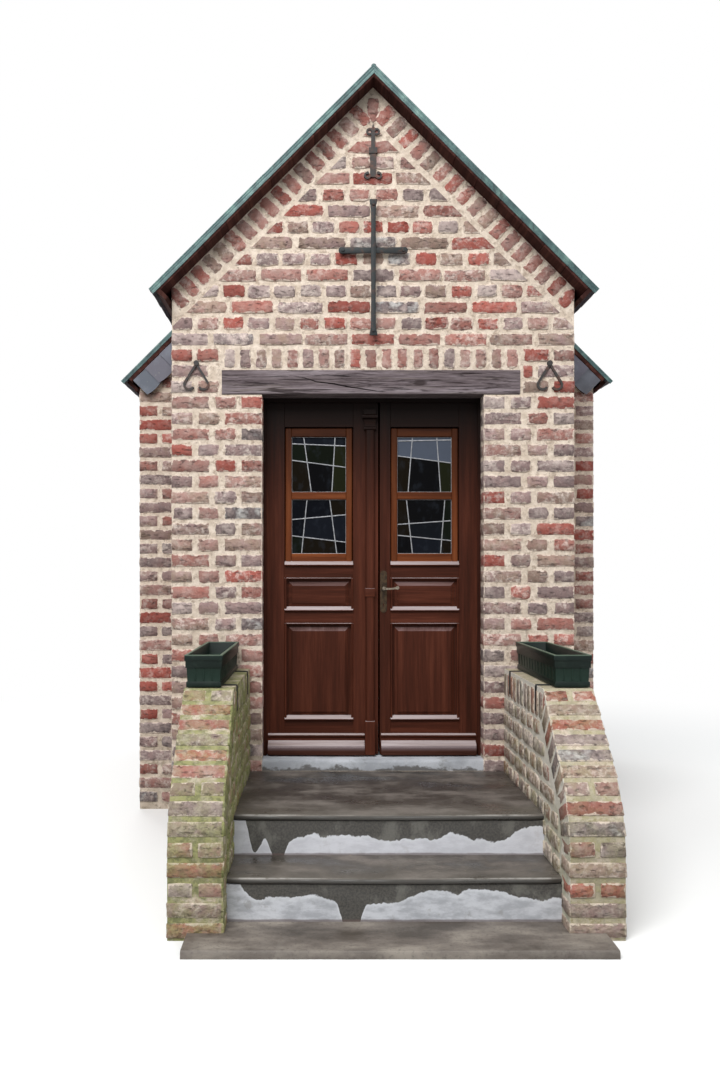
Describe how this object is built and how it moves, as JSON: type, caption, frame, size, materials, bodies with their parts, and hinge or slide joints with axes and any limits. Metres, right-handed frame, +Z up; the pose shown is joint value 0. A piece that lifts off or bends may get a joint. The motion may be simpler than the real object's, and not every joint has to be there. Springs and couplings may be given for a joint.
{
  "type": "wayside shrine",
  "caption": "Small brick wayside chapel with a steep gable, panelled double doors that open inwards, iron cross, swept cheek walls and a short stair.",
  "frame": {"origin": "on the ground, under the middle of the whole part's plan", "axes": "+X to the right seen from the front, -Y out of the front doors, +Z up"},
  "size_m": [2.8, 4.181, 3.8451],
  "materials": {
    "brickwork": "rough brick in cream mortar",
    "limewashed_masonry": "limewashed, damp at the edges",
    "tread_stone": "worn dark stone",
    "cement": "smooth cement",
    "slate": "split slate",
    "weathered_oak": "weathered grey oak",
    "door_wood": "satin varnish",
    "sash_wood": "satin varnish",
    "roof_wood": "dark stained boards",
    "leaded_glass": "leaded coloured glass",
    "green_copper": "verdigris",
    "wrought_iron": "black painted wrought iron",
    "hinge_iron": "dull dark steel",
    "handle_brass": "aged brass",
    "box_plastic": "dark green moulded plastic"
  },
  "bodies": {
    "building": {"bottom_slab": "tread_stone", "step_masonry": "limewashed_masonry", "stair_treads": "tread_stone", "cheek_walls": "brickwork", "cheek_copings": "brickwork", "box_straps": "wrought_iron", "left_flower_box": "box_plastic", "right_flower_box": "box_plastic", "doorway_base": "brickwork", "threshold": "cement", "front_wall_left": "brickwork", "front_wall_right": "brickwork", "front_gable": "brickwork", "lintel_beam": "weathered_oak", "side_walls": "brickwork", "shoulder_walls": "brickwork", "nave_walls": "brickwork", "back_wall": "brickwork", "floor_slab": "cement", "door_frame": "door_wood", "frame_hinges": "hinge_iron", "roof_boards_left": "roof_wood", "roof_boards_right": "roof_wood", "roof_slates_left": "slate", "roof_slates_right": "slate", "ridge_cap": "green_copper", "verge_trims": "green_copper", "slate_bargeboards": "slate", "eaves_boards": "roof_wood", "wall_anchors": "wrought_iron", "wall_cross": "wrought_iron"},
    "left_door": {"left_leaf": "door_wood", "left_panels": "door_wood", "left_mouldings": "door_wood", "left_sash": "sash_wood", "left_glass": "leaded_glass", "left_leaf_hinges": "hinge_iron", "astragal": "door_wood"},
    "right_door": {"right_leaf": "door_wood", "right_panels": "door_wood", "right_mouldings": "door_wood", "right_sash": "sash_wood", "right_glass": "leaded_glass", "right_leaf_hinges": "hinge_iron", "handle_plate": "handle_brass"},
    "lever": {"door_lever": "handle_brass"}
  },
  "joints": [
    {"name": "left_door_hinge", "type": "hinge", "parent": "building", "child": "left_door", "pos_m": [-0.5495, -0.4915, 1.33], "axis": [0, 0, 1], "range_deg": [0, 95]},
    {"name": "right_door_hinge", "type": "hinge", "parent": "building", "child": "right_door", "pos_m": [0.5495, -0.4915, 1.33], "axis": [0, 0, -1], "range_deg": [0, 95]},
    {"name": "lever_turn", "type": "hinge", "parent": "right_door", "child": "lever", "pos_m": [0.06, -0.5905, 1.273], "axis": [0, 1, 0], "range_deg": [0, 40], "stiffness_Nm_per_rad": 0.8, "springref_deg": -17.19}
  ]
}
